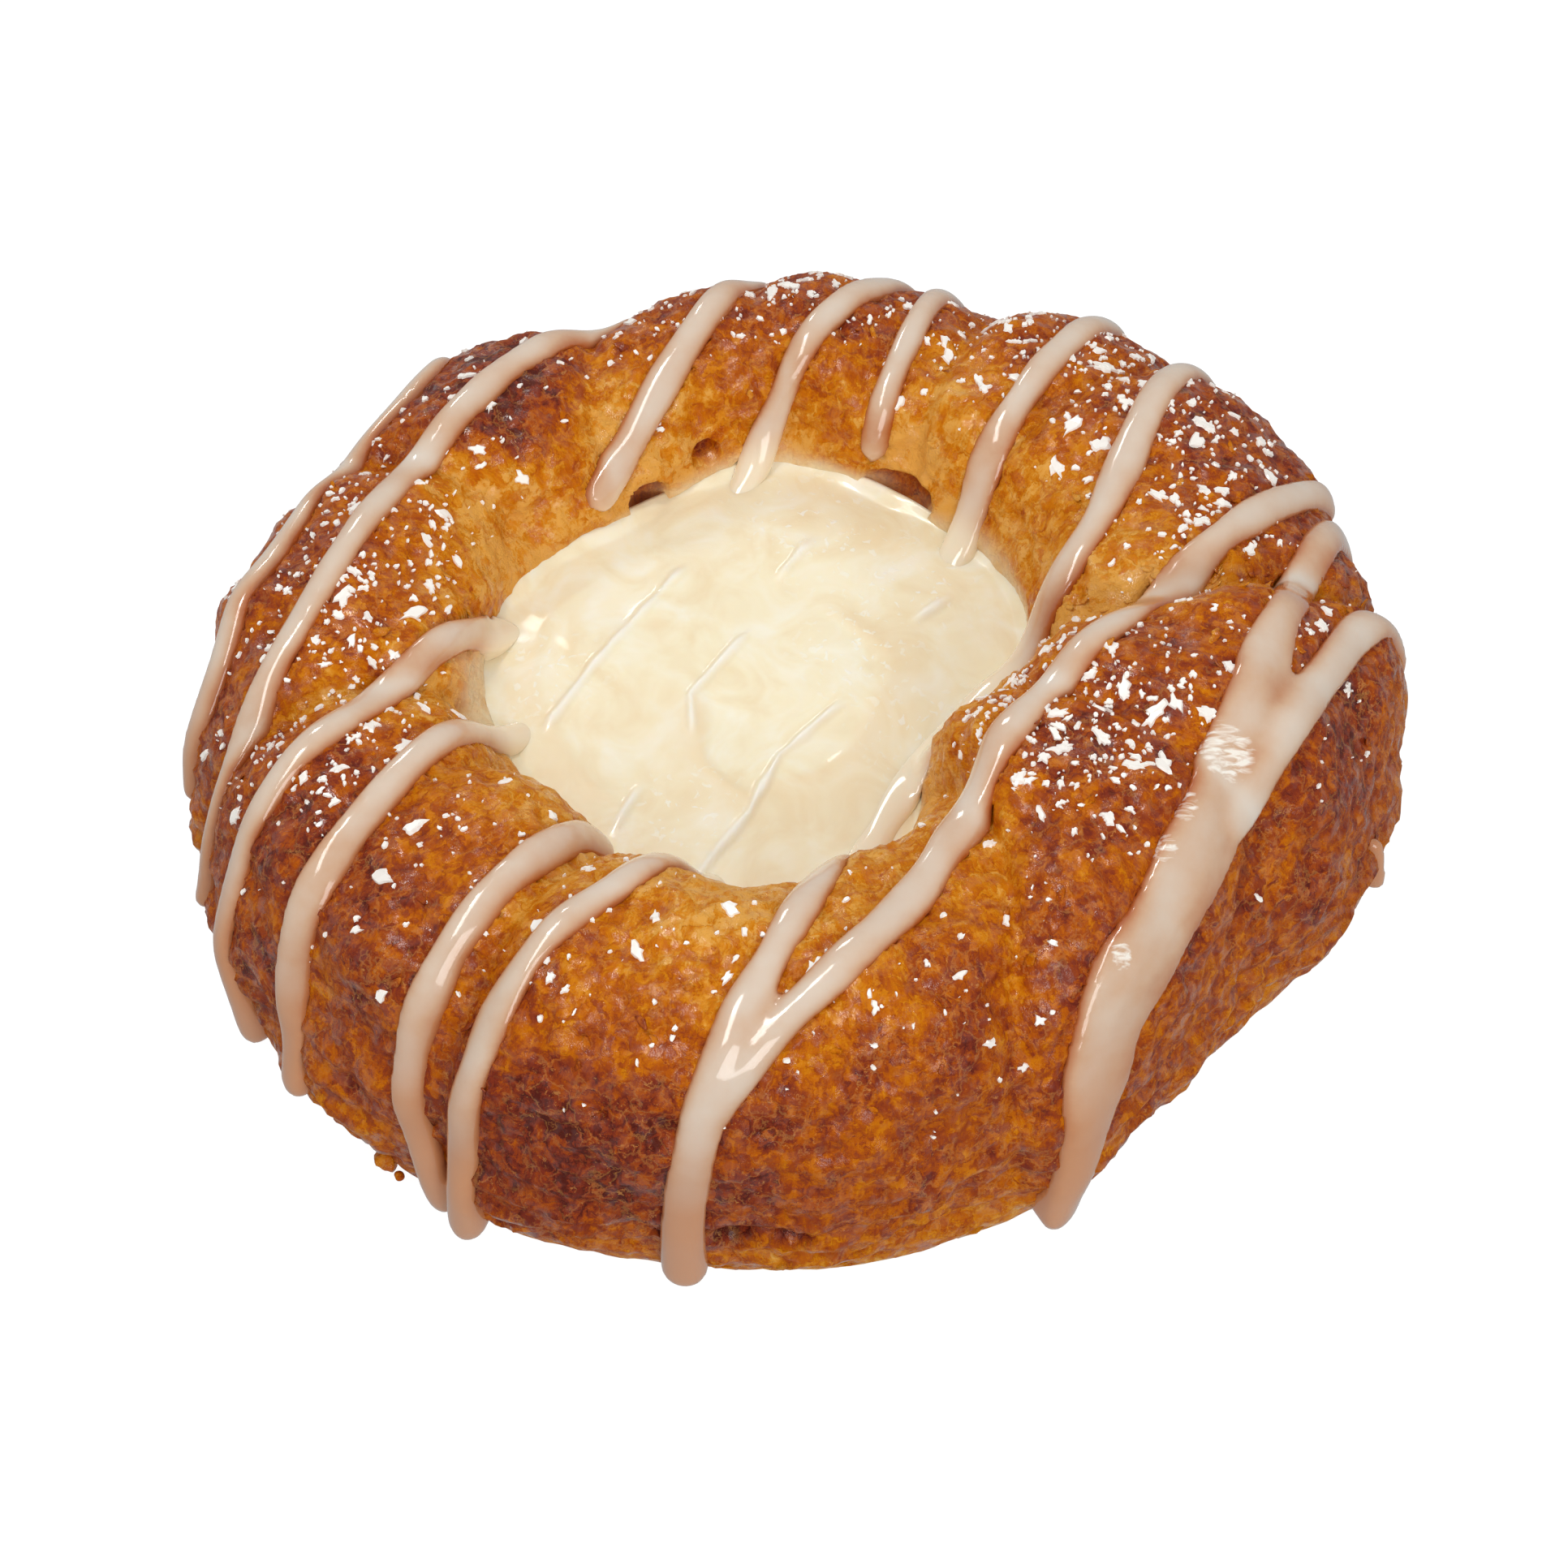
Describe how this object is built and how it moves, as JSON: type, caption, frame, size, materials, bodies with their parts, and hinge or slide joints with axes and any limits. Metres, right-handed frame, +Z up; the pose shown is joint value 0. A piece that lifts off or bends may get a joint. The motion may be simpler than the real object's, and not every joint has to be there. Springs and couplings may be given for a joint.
{
  "type": "cheese danish",
  "caption": "A round cheese danish: a coiled ring of browned laminated dough round a well of sweet cream cheese, with parallel strokes of icing",
  "frame": {"origin": "middle of the bounding box on the flat base", "axes": "+Z up, the shortest extent; +X towards the side where the coil's end laps over, the longest extent"},
  "size_m": [0.1196, 0.1103, 0.037],
  "materials": {
    "crust": "satin",
    "cheese": "satin",
    "icing": "satin"
  },
  "bodies": {
    "root": {"dough_ring": "crust", "cheese_filling": "cheese"}
  },
  "joints": []
}
